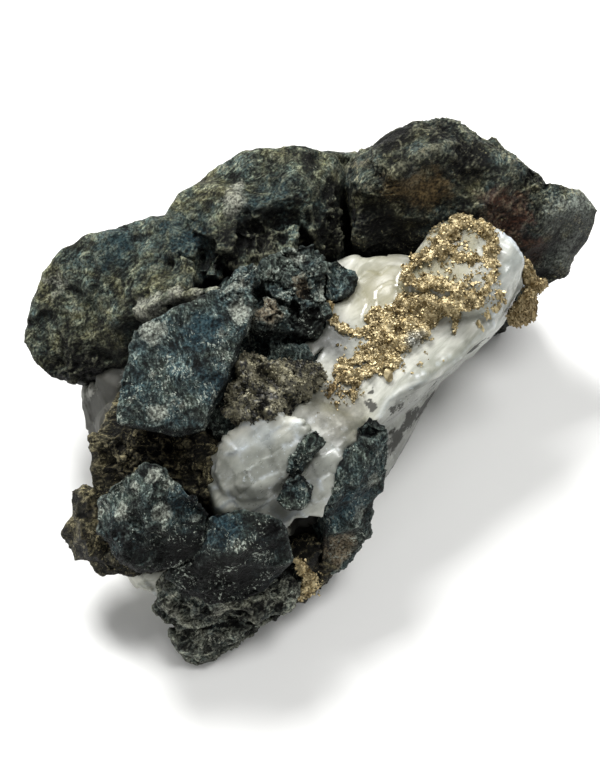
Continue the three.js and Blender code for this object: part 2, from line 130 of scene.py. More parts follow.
def copy_of(node, name, cell_mm, worn):
    """The node's solid as an even mesh, its edges worn by so many passes."""
    piece = bpy.data.objects.new(name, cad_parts[node].data.copy())
    bpy.context.collection.objects.link(piece)
    piece.data.materials.clear()
    with_modifier(piece, "WELD", merge_threshold=0.01 * MM)
    with_modifier(piece, "REMESH", mode="VOXEL", voxel_size=cell_mm * MM, adaptivity=0)
    with_modifier(piece, "SMOOTH", factor=0.5, iterations=worn)
    return piece


def grow_on(piece, seed, cell_mm, bars, crumbs):
    """Fuses angular bits to a piece.

    A bar is its two ends and its thickness; crumbs are a place, their spread, number and size.
    """
    rng = np.random.default_rng(seed)
    lumpy = bmesh.new()
    lumpy.from_mesh(piece.data)
    surface = BVHTree.FromBMesh(lumpy)
    shapes = []
    for x0, y0, z0, x1, y1, z1, thick in bars:
        way = Vector((x1 - x0, y1 - y0, z1 - z0))
        for _ in range(2):
            wide, deep = thick * rng.uniform(0.8, 1.2), thick * rng.uniform(0.6, 1.0)
            size = Vector((wide, deep, way.length + 0.5 * thick))
            askew = way + Vector(rng.normal(0, 0.12, 3)) * way.length
            turn = askew.to_track_quat("Z", "Y") @ Euler((0, 0, rng.uniform(0, 3))).to_quaternion()
            start, end = Vector((x0, y0, z0)), Vector((x1, y1, z1))
            middle = (start + end) / 2 + Vector(rng.normal(0, 0.1 * thick, 3))
            shapes.append(Matrix.LocRotScale(middle * MM, turn, size * MM))
    for x, y, z, spread, number, bit in crumbs:
        for way in rng.normal(0, spread / 2, (number, 3)):
            hit, normal, _, _ = surface.find_nearest((Vector((x, y, z)) + Vector(way)) * MM)
            size = Vector(rng.uniform(0.5, 1.4, 3)) * bit * rng.uniform(0.6, 1.3)
            turn = Euler(rng.uniform(0, 2 * math.pi, 3))
            shapes.append(Matrix.LocRotScale(hit + 0.1 * bit * MM * normal, turn, size * MM))
    for shape in shapes:
        bmesh.ops.create_cube(lumpy, size=1, matrix=shape)
    lumpy.to_mesh(piece.data)
    lumpy.free()
    with_modifier(piece, "REMESH", mode="VOXEL", voxel_size=cell_mm * MM, adaptivity=0)
    with_modifier(piece, "SMOOTH", factor=0.4, iterations=1)


def points_of(mesh):
    points = np.empty(len(mesh.vertices) * 3)
    mesh.vertices.foreach_get("co", points)
    return points.reshape(-1, 3)


def normals_of(mesh):
    normals = np.empty(len(mesh.vertices) * 3)
    mesh.vertex_normals.foreach_get("vector", normals)
    return normals.reshape(-1, 3)


def move_to(piece, points):
    """Moves the mesh's points, and keeps them above the cut base."""
    points[:, 2] = np.maximum(points[:, 2], 0)
    piece.data.vertices.foreach_set("co", points.ravel())
    piece.data.update()


def raise_by(piece, height_mm):
    """Moves each point out along its normal."""
    move_to(piece, points_of(piece.data) + normals_of(piece.data) * height_mm[:, None] * MM)


def paint(piece, name, values):
    """A share from 0 to 1 at each point, for the material to read."""
    layer = piece.data.attributes.new(name, "FLOAT", "POINT")
    layer.data.foreach_set("value", np.clip(values, 0, 1))


def near(points, places, times=1):
    """1 at the middle of each place (x, y, z and radius in millimetres) and 0 at its edge, times a factor.

    It stays at 1 or below, so a higher factor gives a wider middle and a sharper edge.
    """
    share = np.zeros(len(points))
    for x, y, z, radius in places:
        share = np.maximum(share, 1 - np.linalg.norm(points / MM - (x, y, z), axis=1) / radius)
    return np.minimum(times * share, 1)


def smoothed_points(piece, passes):
    """Where the piece's points go when its surface is smoothed by so many passes."""
    smoothed = bpy.data.objects.new("smoothed", piece.data.copy())
    bpy.context.collection.objects.link(smoothed)
    with_modifier(smoothed, "SMOOTH", factor=0.5, iterations=passes)
    points = points_of(smoothed.data)
    bpy.data.objects.remove(smoothed)
    return points


def paint_relief(piece, depth_mm):
    """Paints crests towards 1 and hollows towards 0, by how far each point stands off a smooth surface."""
    from_smooth = points_of(piece.data) - smoothed_points(piece, passes=12)
    standing = (from_smooth * normals_of(piece.data)).sum(axis=1)
    paint(piece, "relief", 0.5 + 0.5 * standing / (depth_mm * MM))


def broken_stone(
    node, seed, cell_mm=0.3, worn=4, grown=0.0, swell=(9, 0.5), face=(8, 0.8), chip=(2.2, 0.3),
    grit=(0.8, 0.12), bed=None, dents=(), crumbly=(), smooth=(), bars=(), crumbs=(), painted_light_lift=0.0, **patches,
):
    """A block of rock from its CAD solid. Each pair is a size and a depth in millimetres.

    A bed is the way across it, its thickness and its depth; a dent is a place, a radius and a depth.
    The block is crumbly or smooth near some places, and a patch is a colour's name and its places.
    """
    piece = copy_of(node, node.replace("block", "rock"), cell_mm, worn)
    points = points_of(piece.data)
    warped = shaken(points, 0.8, 4, seed + 60)
    height = face[1] * breaks(warped, face[0], seed + 1)
    height += 0.5 * face[1] * breaks(warped, 0.5 * face[0], seed + 4)
    height *= 1 - 0.7 * near(points, smooth, times=2)
    height += grown + swell[1] * swells(points, swell[0], seed, octaves=2)
    if bed:
        across, bed_mm, bed_depth = bed
        level = shaken(points, 1.6, 6, seed + 70) @ unit(across) / (bed_mm * MM)
        leaf = level - np.floor(level)
        torn = np.clip(0.5 + 1.2 * swells(points, 4, seed + 73, octaves=2), 0, 1)
        height += bed_depth * torn * (np.minimum(leaf * 1.25, 5 * (1 - leaf)) - 0.5)
    for x, y, z, radius, depth in dents:
        hollow = near(warped, [(x, y, z, radius)])
        height -= depth * hollow * hollow * (3 - 2 * hollow)
    raise_by(piece, height)
    if bars or crumbs:
        grow_on(piece, seed, cell_mm, bars, crumbs)

    points = points_of(piece.data)
    roughened = np.clip(0.75 + 0.9 * swells(points, 9, seed + 5, octaves=2), 0.3, 1.5)
    roughened += 1.6 * near(points, crumbly, times=1.5)
    roughened *= 1 - 0.8 * near(points, smooth, times=2)
    height = chip[1] * roughened * breaks(shaken(points, 0.8, 4, seed + 60), chip[0], seed + 2)
    height += grit[1] * roughened * swells(points, grit[0], seed + 3, octaves=2, fall=0.7, crested=True)
    raise_by(piece, height)
    paint_relief(piece, 0.2)
    # Painted light and shade by facing: faces turned up and back, towards the strongest soft box, are
    # painted lighter, faces turned away darker, and the lift raises a whole block's painted light.
    paint(piece, "painted_facing_light", 0.5 + painted_light_lift + 0.62 * (normals_of(piece.data) @ PAINTED_LIGHT_SIDE))
    ragged = 0.3 * swells(points, 2.5, seed + 80, octaves=4, fall=0.7)
    # Among the patches, the black ones are painted shadow, put where shade falls.
    for name, places in patches.items():
        share = near(points, places)
        paint(piece, name, 1.5 * (share + ragged) * (share > 0))
    return piece


def rgb(hex_colour):
    """An sRGB hex colour as the linear values that a material takes."""
    shares = [int(hex_colour[i : i + 2], 16) / 255 for i in (0, 2, 4)]
    linear = [share / 12.92 if share <= 0.04045 else ((share + 0.055) / 1.055) ** 2.4 for share in shares]
    return linear + [1.0]


def feed(material, node, inputs):
    """Sets or links a node's inputs, given by name in a dict, or in the node's own order in a list."""
    if isinstance(inputs, dict):
        sockets = [node.inputs[name] for name in inputs]
        inputs = inputs.values()
    else:
        sockets = [socket for socket in node.inputs if socket.enabled]
    for socket, value in zip(sockets, inputs):
        if isinstance(value, bpy.types.NodeSocket):
            material.node_tree.links.new(value, socket)
        else:
            socket.default_value = value


def add(material, kind, inputs=(), output=None, **settings):
    """Adds a node with its settings, feeds its inputs, and returns the output named, or its first.

    A Mix takes its factor first. A MapRange takes a value, then the range it has and the range it gets.
    """
    node = material.node_tree.nodes.new("ShaderNode" + kind)
    for key, value in settings.items():
        setattr(node, key, value)
    feed(material, node, inputs)
    return node.outputs[output] if output else next(socket for socket in node.outputs if socket.enabled)


def surface_of(name, build):
    """A new material whose surface is what `build` works out."""
    material = bpy.data.materials.new(name)
    material.use_nodes = True
    feed(material, material.node_tree.nodes["Principled BSDF"], build(material))
    return material


def per_mm(size_mm):
    """The scale of a pattern on Object coordinates whose cells are this wide."""
    return 1 / (size_mm * MM)


def wall_rock(name, dark, middle, cool, light, fleck, flecked, patches, turn, mottled=(0.5, 1.8)):
    """Chlorite-rich wall rock: dark, mottled, matted with short pale fibres and flecked with feldspar.

    Dull, because its broken faces are all fine grain. Its fibres and flecks are some 0.1 mm wide,
    and are drawn at 0.4 to 0.5 mm so that they show.
    """

    def build(rock):
        place = add(rock, "TexCoord", output="Object")
        swirl = add(rock, "TexNoise", {"Vector": place, "Scale": per_mm(5), "Detail": 2}, output="Color")
        bent = add(rock, "Mix", [0.004, place, swirl], data_type="VECTOR")

        pattern = {"Vector": place, "Scale": per_mm(4), "Detail": 6, "Roughness": 0.7}
        broad = add(rock, "TexNoise", pattern)
        pattern = {"Vector": place, "Scale": per_mm(7), "Detail": 7, "Roughness": 0.72, "Distortion": 0.6}
        hue = add(rock, "TexNoise", pattern)
        pattern = {"Vector": place, "Scale": per_mm(1.1), "Detail": 6, "Roughness": 0.85}
        fine = add(rock, "TexNoise", pattern)
        lie = {"Vector": bent, "Rotation": (0.5, 0.3, turn), "Scale": (1, 4.5, 1.5)}
        laid = add(rock, "Mapping", lie, vector_type="TEXTURE")
        pattern = {"Vector": laid, "Scale": per_mm(0.5), "Detail": 4, "Roughness": 0.65}
        fibres = add(rock, "TexNoise", pattern)

        # The body colour, dark where the tone is low, and the mats of pale fibres.
        share = add(rock, "MapRange", [hue, 0.42, 0.6])
        body = add(rock, "Mix", [share, rgb(middle), rgb(cool)], data_type="RGBA")
        tone = add(rock, "Math", [fine, 1.1, fibres], operation="MULTIPLY_ADD")
        tone = add(rock, "Math", [broad, 1.7, tone], operation="MULTIPLY_ADD")
        share = add(rock, "MapRange", [tone, 1.66, 2.04])
        colour = add(rock, "Mix", [share, rgb(dark), body], data_type="RGBA")
        share = add(rock, "MapRange", [fibres, 0.52, 0.62])
        matted = add(rock, "MapRange", [broad, 0.4, 0.58, 0, 0.85])
        share = add(rock, "Math", [share, matted], operation="MULTIPLY")
        colour = add(rock, "Mix", [share, colour, rgb(light)], data_type="RGBA")
        pattern = {"Vector": bent, "Scale": per_mm(2.6), "Detail": 6, "Roughness": 0.68, "Distortion": 0.4}
        mottle = add(rock, "TexNoise", pattern)
        mottle = add(rock, "MapRange", [mottle, 0.38, 0.62, *mottled], interpolation_type="SMOOTHSTEP")
        colour = add(rock, "Mix", [1.0, colour, mottle], data_type="RGBA", blend_type="MULTIPLY")

        # Patches of other colour, then crests painted pale as highlights, darkening by the grain, and
        # painted shade in the hollows and on faces turned from the light.
        # Among these patches, the black one is painted shadow: it darkens the rock where shade falls.
        for attribute, tint, strength in patches:
            painted = add(rock, "Attribute", output="Fac", attribute_name=attribute)
            ragged = add(rock, "Math", [tone, 0.9, painted], operation="MULTIPLY_ADD")
            share = add(rock, "MapRange", [ragged, 1.85, 2.5, 0, strength])
            colour = add(rock, "Mix", [share, colour, rgb(tint)], data_type="RGBA")
        relief = add(rock, "Attribute", output="Fac", attribute_name="relief")
        crest = add(rock, "MapRange", [relief, 0.56, 1.0, 0, 0.45])
        colour = add(rock, "Mix", [crest, colour, rgb(light)], data_type="RGBA")
        pattern = {"Vector": place, "Scale": per_mm(0.42), "Detail": 2, "Roughness": 0.6}
        grit = add(rock, "TexNoise", pattern)
        grit = add(rock, "MapRange", [grit, 0.38, 0.62, 0.3, 1.6])
        hollow = add(rock, "MapRange", [relief, 0.12, 0.5, 0.1, 1.0])
        shade = add(rock, "Math", [grit, hollow], operation="MULTIPLY")
        # Painted shade on faces turned away from the strongest soft box, and painted light on faces turned
        # towards it.
        painted_facing_light = add(rock, "Attribute", output="Fac", attribute_name="painted_facing_light")
        painted_facing_light = add(rock, "Math", [fine, 0.7, painted_facing_light], operation="MULTIPLY_ADD")
        facing_shade = add(rock, "MapRange", [painted_facing_light, 0.65, 1.25, 0.22, 1.0])
        shade = add(rock, "Math", [shade, facing_shade], operation="MULTIPLY")
        colour = add(rock, "Mix", [1.0, colour, shade], data_type="RGBA", blend_type="MULTIPLY")

        # Flecks lie in three directions, gathered where the broad pattern is high, and dimmed in the hollows
        # as painted shade.
        gathered = add(rock, "MapRange", [broad, 0.38, 0.62, -0.13, 0.045])
        standing = add(rock, "MapRange", [relief, 0.3, 0.55, 0.15, 0.9])
        for across, along in ((0.3, 1.8), (1.3, 2.4), (-0.7, 2.4)):
            lie = {"Vector": bent, "Rotation": (0.6, -0.4, turn + across), "Scale": (1, along, 1)}
            laths = add(rock, "Mapping", lie, vector_type="TEXTURE")
            pattern = {"Vector": laths, "Scale": per_mm(0.42), "Detail": 3, "Roughness": 0.6}
            speck = add(rock, "TexNoise", pattern)
            speck = add(rock, "Math", [speck, gathered], operation="ADD")
            speck = add(rock, "MapRange", [speck, flecked, flecked + 0.05])
            speck = add(rock, "Math", [speck, standing], operation="MULTIPLY")
            colour = add(rock, "Mix", [speck, colour, rgb(fleck)], data_type="RGBA")

        unevenness = add(rock, "Math", [fine, fibres], operation="ADD")
        normal = add(rock, "Bump", {"Height": unevenness, "Strength": 1.0, "Distance": 0.65 * MM})
        roughness = add(rock, "MapRange", [fine, 0.35, 0.65, 0.75, 0.38])
        return {"Base Color": colour, "Roughness": roughness, "Normal": normal, "Specular IOR Level": 0.2}

    return surface_of(name, build)


def dress(piece, node, material, smooth=True):
    """Gives a finished piece its material and its place in the part."""
    piece.data.materials.clear()
    piece.data.materials.append(material)
    piece.data.polygons.foreach_set("use_smooth", [smooth] * len(piece.data.polygons))
    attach(piece, "root")
    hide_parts(node)


olive_rock = wall_rock(
    "olive_grey_wall_rock", dark="0d0f0a", middle="636246", cool="495b59", light="97987f", fleck="8f947f",
    flecked=0.67, turn=math.radians(-45),
    patches=[("pale", "a3a496", 0.75), ("blue", "203a42", 0.65), ("black", "040504", 0.94)],
)
shoulder = broken_stone(
    "shoulder_block", 1, cell_mm=0.32, worn=8, grown=0.2,
    swell=(10, 0.7), face=(10, 1.2), chip=(2.4, 0.34), grit=(0.9, 0.08),
    dents=[
        (-8, 23, 46, 6, 0.9), (1, 32, 45, 4, 0.8), (-30, 18, 41, 8, 0.8), (-37, 8, 30, 5, 0.8),
        (-20, 21, 43, 5, 0.8), (-9.5, 32, 43.5, 6, -1.7), (-3, 33, 44, 5, -0.8),
    ],
    crumbly=[(-12, 16, 38.5, 8), (-4, 18, 39, 6), (3, 22, 37, 6), (-38, 2, 22, 8)],
    bars=[
        # the rim over the slab, and the rock that backs it
        (-26.6, 6.8, 34.4, -26.6, 12, 34, 3.2), (-24, 6.4, 37.2, -24, 12, 36.6, 3.4),
        (-20.8, 6.2, 39, -20.8, 12.5, 38.4, 3.0), (-28, 6.6, 34.5, -25.2, 6.2, 37.6, 2.5),
        (-26, 6.3, 37.4, -22, 5.9, 40.4, 1.5), (-22.6, 6, 39.6, -18.6, 5.5, 42, 1.4),
        (-19, 5.6, 41.6, -15.4, 5.2, 43, 0.9),
        # the broken lobes on its front
        (-14.5, 15, 40, -13.5, 19, 41.5, 3), (-11.5, 14.5, 38, -10.5, 18.5, 39.5, 3.4),
        (-7.5, 14.5, 37.5, -6.5, 19, 39, 3), (-17, 13.8, 36, -16, 17.5, 37.8, 2.6),
        (-4.5, 16, 38, -4, 20, 39.5, 2.6),
    ],
    crumbs=[(-12, 16, 38, 6, 60, 1.2), (-22, 7, 39.5, 4, 20, 1.0), (4, 22, 37, 4, 30, 1.1)],
    pale=[
        (-13, 22, 44, 3), (-12.5, 26, 45, 2.2), (-7, 19.5, 43, 3), (-27, 6.3, 36, 3.5), (-25.5, 6, 38, 3),
        (-22, 6, 40.5, 1.8), (-18.5, 5.4, 42.3, 1.6), (-16, 5.2, 43, 2), (-44, 12, 34, 4),
    ],
    blue=[(-7, 22, 45, 6), (-21, 18, 40, 7), (-18, 15, 35, 6), (-33, 17, 38, 5)],
    # painted shadow in the clefts, under the lobes and at the back
    black=[
        (4, 23, 36, 8), (-1, 30, 44, 2.5), (-38, 2, 22, 7), (-28, 6, 24, 9), (-9, 16, 38, 4),
        (-12, 14, 36, 4), (-13, 16.5, 40.5, 5.5), (-9.5, 17, 40, 5.5), (3, 26, 41, 3.5),
    ],
)
dress(shoulder, "shoulder_block", olive_rock)

# Crag: the big block at the back right, of the same rock. Iron has stained its front brown and
# red, and its thin end is broken smooth.
crag_rock = wall_rock(
    "iron_stained_wall_rock", dark="090b08", middle="504f39", cool="3f4e4d", light="98987f", fleck="938f70",
    flecked=0.65, turn=math.radians(-50),
    patches=[
        ("pale", "959c92", 0.6), ("brown", "86704a", 0.8), ("red", "5c3828", 0.7), ("black", "040504", 0.94),
    ],
)
crag = broken_stone(
    "crag_block", 2, cell_mm=0.28, worn=4, grown=0.25,
    swell=(12, 0.7), face=(10, 1.3), chip=(3.0, 0.45), grit=(0.9, 0.12),
    dents=[(26, 28, 44, 7, 1.0), (14, 22, 38, 6, 0.8)],
    smooth=[(46, 26, 32, 10), (18, 25, 43, 5)],
    pale=[(16.3, 25.3, 45.2, 2.5), (41.6, 24.7, 36.2, 4), (46, 26, 34, 6), (42.4, 22, 28, 5)],
    brown=[(19, 25, 43, 5), (14, 26, 43, 4)],
    red=[(32, 23, 38, 6), (37, 20, 31, 5)],
    # painted shadow under the front overhang and at the back
    black=[
        (14, 19, 33, 9), (11.5, 22, 36, 6), (24, 20, 33, 8), (26, 30, 46, 5), (13, 33, 46, 5),
        (20, 33, 46, 4),
    ],
)
dress(crag, "crag_block", crag_rock)

# Slab: a flat block of bluer rock, finely speckled with feldspar. It split off along its bedding
# before the calcite caught it, so its faces are the flattest here.
blue_rock = wall_rock(
    "blue_grey_wall_rock", dark="090c0c", middle="3e473f", cool="32464a", light="808c84", fleck="bcc5b8",
    flecked=0.625, turn=math.radians(20), mottled=(0.6, 1.7),
    patches=[
        ("pale", "adb2a5", 0.7), ("blue", "1e3d49", 0.55), ("tan", "93836a", 0.8), ("black", "050605", 0.92),
    ],
)
slab = broken_stone(
    "slab_block", 3, cell_mm=0.22, worn=3, swell=(7, 0.5), face=(7, 0.6), chip=(1.8, 0.22), grit=(0.7, 0.08),
    bars=[
        (-14, 2.4, 43.4, -12, 5.4, 43.6, 3.4), (-12.6, 4.6, 43.4, -10.4, 7.6, 43, 3),
        (-11, 6.6, 43, -9.2, 9.2, 42, 2.4),
    ],
    crumbs=[(-12, 4, 44.6, 3, 16, 0.9)],
    dents=[(-30, -6, 42, 4, 0.8), (-20, -17, 40, 4, 0.7), (-11, -6, 44, 3, 0.6)],
    pale=[(-25.5, -3, 45, 3), (-11.5, 0, 45, 2.5), (-12, 4, 45, 2), (-24, -16, 41, 2)],
    blue=[(-15, -12, 42, 5), (-17, -3, 45, 4)],
    tan=[(-31, -3, 43, 2), (-31, -7, 41, 2)],
    # painted shadow under the rim
    black=[(-14, 5.5, 42, 3)],
)
dress(slab, "slab_block", blue_rock)

# Middle knots, wedge and chips: crumbly knots and splinters of the speckled rock between the slab
# and the calcite. They broke off the blocks around them and were caught in the white cement.
knots = broken_stone(
    "middle_knots", 4, cell_mm=0.27, worn=1,
    swell=(5, 0.4), face=(4, 0.7), chip=(1.5, 0.3), grit=(0.7, 0.12),
    crumbly=[(-2, 9, 40, 7), (-7, 2, 41, 4)],
    crumbs=[(-2, 9, 40, 6, 70, 1.4), (-7, 2, 41, 3, 20, 1.0)],
    pale=[(-7, 2, 41, 2.5), (-3, 13, 41, 2), (2, 8, 38, 2)],
    tan=[(-2, 8, 40, 2.2), (-7, 2, 42, 3)],
    # painted shadow between the knots
    black=[(-1, 4, 36, 5), (-8, -1, 38, 3), (-10, 8, 38, 4)],
    painted_light_lift=0.15,
)
knots.name = "knotted_rock"
dress(knots, "middle_knots", blue_rock)
for node, name, seed in (
    ("wedge_block", "wedged_splinter", 5),
    ("upper_chip", "long_splinter", 6),
    ("lower_chip", "stubby_splinter", 7),
):
    splinter = broken_stone(
        node, seed, cell_mm=0.18, worn=0,
        swell=(4, 0.3), face=(2.6, 0.55), chip=(1.0, 0.2), grit=(0.5, 0.07),
    )
    splinter.name = name
    dress(splinter, node, blue_rock)

# Knob, brow and side: angular blocks of the speckled rock, stacked down the front. The knob has
# pale spots of feldspar, and the side block shows thin bedding.
knob = broken_stone(
    "knob_block", 8, cell_mm=0.22, worn=0, swell=(7, 0.3), face=(5, 0.8), chip=(1.7, 0.24), grit=(0.7, 0.1),
    pale=[
        (-23.2, -29.5, 33.5, 2.0), (-25, -24, 36, 1.8), (-30, -28, 31, 1.6), (-28, -25, 34, 1.5),
        (-18, -29, 31, 1.4),
    ],
    blue=[(-19, -27, 33, 4)],
    # painted shadow on the knob's lower faces
    black=[(-22, -34, 26, 7), (-18, -31, 27, 5), (-28, -32, 24, 5)],
    painted_light_lift=-0.05,
)
dress(knob, "knob_block", blue_rock)
brow = broken_stone(
    "brow_block", 9, cell_mm=0.22, worn=0, swell=(7, 0.3), face=(6, 0.8), chip=(1.6, 0.22), grit=(0.7, 0.1),
    blue=[(-14, -30, 29, 4)],
    # painted shadow on the brow's lower faces
    black=[(-8, -29, 27, 5), (-14, -36, 21, 10), (-19, -33, 24, 5)],
    painted_light_lift=-0.2,
)
dress(brow, "brow_block", blue_rock)
side = broken_stone(
    "side_block", 10, cell_mm=0.24, worn=1, swell=(6, 0.3), face=(4.5, 0.9), chip=(1.8, 0.24),
    grit=(0.8, 0.08), bed=((0.8, 0.3, 0.2), 1.4, 0.2),
    blue=[(8, -22, 22, 5)],
    pale=[(9.6, -19, 24, 2), (7.5, -22, 19, 2)],
    tan=[(4.2, -26.5, 13.5, 4.5)],
    painted_light_lift=0.5,
)
dress(side, "side_block", blue_rock)

# Foot: a low block of greyer rock at the very front. It is parted into thick beds, and streaked
# pale and dark along them.
streaked_rock = wall_rock(
    "grey_streaked_rock", dark="0a0b09", middle="55564a", cool="475250", light="a2a494", fleck="b3b6a5",
    flecked=0.63, turn=math.radians(-70), mottled=(0.3, 2.6),
    patches=[("pale", "a3a496", 0.75), ("black", "040504", 0.94)],
)
foot = broken_stone(
    "foot_block", 11, cell_mm=0.25, worn=3, swell=(7, 0.4), face=(5, 1.0), chip=(2, 0.44), grit=(0.8, 0.16),
    bed=((0.1, -0.25, 1), 3.2, 1.2),
    pale=[(-23, -37, 13, 2.5), (-15, -37, 13, 2)],
    painted_light_lift=0.8,
)
dress(foot, "foot_block", streaked_rock)

# Ledge and hollow rock: browner rock in the two recesses, split into thin wavy beds. It is softer
# than the blocks, so it has crumbled, and crumbs lie on it.
bedded_rock = wall_rock(
    "brown_bedded_rock", dark="070604", middle="4a4530", cool="383a35", light="999070", fleck="a39a76",
    flecked=0.63, turn=math.radians(-75), mottled=(0.25, 2.3),
    patches=[("black", "030302", 0.94)],
)
THIN_BEDS = {
    "cell_mm": 0.28, "worn": 5, "swell": (6, 0.4), "face": (4, 0.6), "chip": (1.6, 0.34),
    "bed": ((0.1, 0.35, 0.93), 1.5, 0.5),
}
ledge = broken_stone(
    "ledge_block", 12, **THIN_BEDS,
    bars=[
        (-37, -23.5, 15.5, -36, -24.5, 18, 4), (-36.8, -25.5, 13, -34.5, -26.5, 15.5, 4.2),
        (-35, -27.5, 12, -33, -28, 13.5, 3.8), (-36.5, -22, 18, -36, -20, 21, 3.6),
    ],
    crumbs=[
        (-16.4, -16, 28, 2.5, 40, 1.1), (-16, -21, 28, 3, 50, 1.1), (-14.5, -24, 27.3, 2, 24, 1.0),
        (-27, -17, 29, 6, 40, 1.3),
    ],
    crumbly=[(-26, -17, 30, 8)],
    smooth=[(-37, -25, 15, 8)],
    # painted shadow under the slab's edge
    black=[(-26, -12, 30, 9), (-18, -14, 29, 6)],
)
dress(ledge, "ledge_block", bedded_rock)
# The black patch in the hollow is painted shadow.
hollow = broken_stone(
    "hollow_block", 13, **THIN_BEDS, crumbs=[(-2, -26, 15, 4, 30, 1.2)], black=[(-1.5, -26, 15, 8)],
)
dress(hollow, "hollow_block", bedded_rock)

# Calcite: the white cement, partly clear, that filled the cracks between the blocks. It cleaves
# into skewed glassy blocks, and on the open face it has grown in smooth folds.
CREST = [  # the sharp edge along the right of the open face, from its low end up to the dome
    (10.9, -10.3, 30.1), (12.2, -7.7, 30.5), (14.2, -6, 30.7), (17.5, -4.2, 30.6), (20.8, -2, 29.5),
    (22.7, -0.1, 29.3), (24.3, 1, 29.4), (27.5, 4.6, 30), (29.5, 7.5, 30.8), (32.7, 11.4, 33.6),
]
FACE_RISE = (0.87, 0.5)  # what a step back and a step up count for, seen from above the open face
BLOCKS = 32  # blocks each way before their heights repeat; a power of two, as LATTICE is
# The way across each set of cleavage faces, and how many millimetres apart they lie.
CLEAVAGE = (((0.86, 0.42, 0.3), 4.2), ((-0.45, 0.85, 0.3), 3.2), ((0.1, -0.35, 0.93), 5.0))


def ground_of(pieces):
    """The pieces' surfaces, ready for the nearest point to be looked up."""
    corners, faces = [], []
    for piece in pieces:
        faces += [[len(corners) + i for i in face.vertices] for face in piece.data.polygons]
        corners += [vertex.co.copy() for vertex in piece.data.vertices]
    return BVHTree.FromPolygons(corners, faces)


def open_faces(piece, nodes):
    """True for each face that is off the table and that no other piece of the part covers within 0.8 mm."""
    cover = ground_of([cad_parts[node] for node in nodes])
    bare = []
    for face in piece.data.polygons:
        above = face.center + 0.8 * MM * face.normal
        hit, normal, _, _ = cover.find_nearest(above)
        bare.append(face.center.z > 0.3 * MM and (above - hit).dot(normal) > 0)
    return bare


def halve_faces(piece, chosen):
    """Splits the chosen faces in four, for finer detail there."""
    finer = bmesh.new()
    finer.from_mesh(piece.data)
    edges = {edge for face, wanted in zip(finer.faces, chosen) if wanted for edge in face.edges}
    edges = sorted(edges, key=lambda edge: edge.index)
    bmesh.ops.subdivide_edges(finer, edges=edges, cuts=1, use_grid_fill=True)
    finer.to_mesh(piece.data)
    finer.free()


def along_grain(points, direction, stretch):
    """Points squeezed along a direction, so that a pattern on them is drawn out that way."""
    return points - np.outer(points @ unit(direction), unit(direction)) * (1 - 1 / stretch)


def cleaved(points, seed):
    """The blocks that calcite splits into: a height, a tone from 0 to 1, and the mm to the nearest crack."""
    rng = np.random.default_rng(seed)
    levels, cracks = [], []
    for count, (across, size_mm) in enumerate(CLEAVAGE, 1):
        level = points @ unit(across) / (size_mm * MM) + 0.3 * swells(points, 9, seed + count, octaves=2)
        levels.append(level)
        cracks.append(np.abs(level - np.round(level)) * size_mm)
    cells = [np.floor(level).astype(np.int64) & (BLOCKS - 1) for level in levels]
    given = rng.random((BLOCKS, BLOCKS, BLOCKS, 5))[cells[0], cells[1], cells[2]]
    height = given[:, 0] - 0.5
    for k in (0, 1):
        height += (given[:, 2 + k] - 0.5) * 1.4 * (levels[k] - np.floor(levels[k]) - 0.5)
    return height, given[:, 4], np.minimum(cracks[0], cracks[1])


def below_line(points, line):
    """How many millimetres each point lies below a line of places, seen from above the open face."""
    back, up = FACE_RISE
    seen = np.array([(x, back * y + up * z) for x, y, z in line])
    places = np.stack([points[:, 0], back * points[:, 1] + up * points[:, 2]], axis=1) / MM
    least = np.full(len(points), np.inf)
    below = np.zeros(len(points))
    for start, end in zip(seen, seen[1:]):
        way, out = end - start, places - start
        away = np.linalg.norm(out - np.clip(out @ way / (way @ way), 0, 1)[:, None] * way, axis=1)
        nearer = away < least
        least = np.where(nearer, away, least)
        below = np.where(nearer, away * np.sign(way[1] * out[:, 0] - way[0] * out[:, 1]), below)
    return below


def ramp(values, start, width):
    """Goes from 0 at the start to 1 a width further on."""
    return np.clip((values - start) / width, 0, 1)


calcite = copy_of("calcite", "calcite_cement", cell_mm=0.62, worn=3)
neighbours = [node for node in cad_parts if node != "calcite" and "silver" not in node]
halve_faces(calcite, open_faces(calcite, neighbours))
with_modifier(calcite, "SMOOTH", factor=0.5, iterations=2)

# The edges that the even mesh has lost are sharpened again, and the slope is smoothed up to its crest.
points = points_of(calcite.data)
lost = points - smoothed_points(calcite, passes=50)
bumps = points - smoothed_points(calcite, passes=160)
on_slope = near(points, [(15, 1, 31, 15), (24, 10, 36, 12), (8, -7, 31, 8), (4, -9, 31.5, 7)], times=3)
on_slope *= 1 - near(points, [(*place, 3.2) for place in CREST], times=2)
sharpened = (1 - on_slope)[:, None] * np.clip(1.1 * lost, -1.3 * MM, 1.3 * MM)
move_to(calcite, points + sharpened - (0.85 * on_slope)[:, None] * bumps)

# Folds and growth rings on the face that grew freely, flutes on the dome's flank, blocks elsewhere.
points = points_of(calcite.data)
x, y, z = points.T / MM
on_flank = ramp(x, 26.5, 3)
under_crest = below_line(points, CREST)
side_face = ramp(under_crest, 0, 0.7) * ramp(x, 8, 2)
grown_face = near(points, [
    (14, 3, 32, 18), (24, 12, 37, 16), (12, 12, 33, 12), (4.5, -9.5, 31.5, 9), (3, 1, 32, 7),
], times=3)
grown_face = np.maximum(grown_face, side_face)
flow = along_grain(points, (-0.71, -0.69, -0.14), 6)
flute = along_grain(points, (-0.25, -0.35, -0.9), 6)
RING_MM = 2.6
rings = np.linalg.norm(points / MM - (12.5, 11, 33), axis=1) / RING_MM + 0.9 * swells(points, 4, 46)
block_height, block_tone, crack_mm = cleaved(points, 43)
height = 0.4 + 0.35 * swells(points, 12, 40)
height += 0.08 * (1 - on_flank) * grown_face * swells(flow, 5, 41)
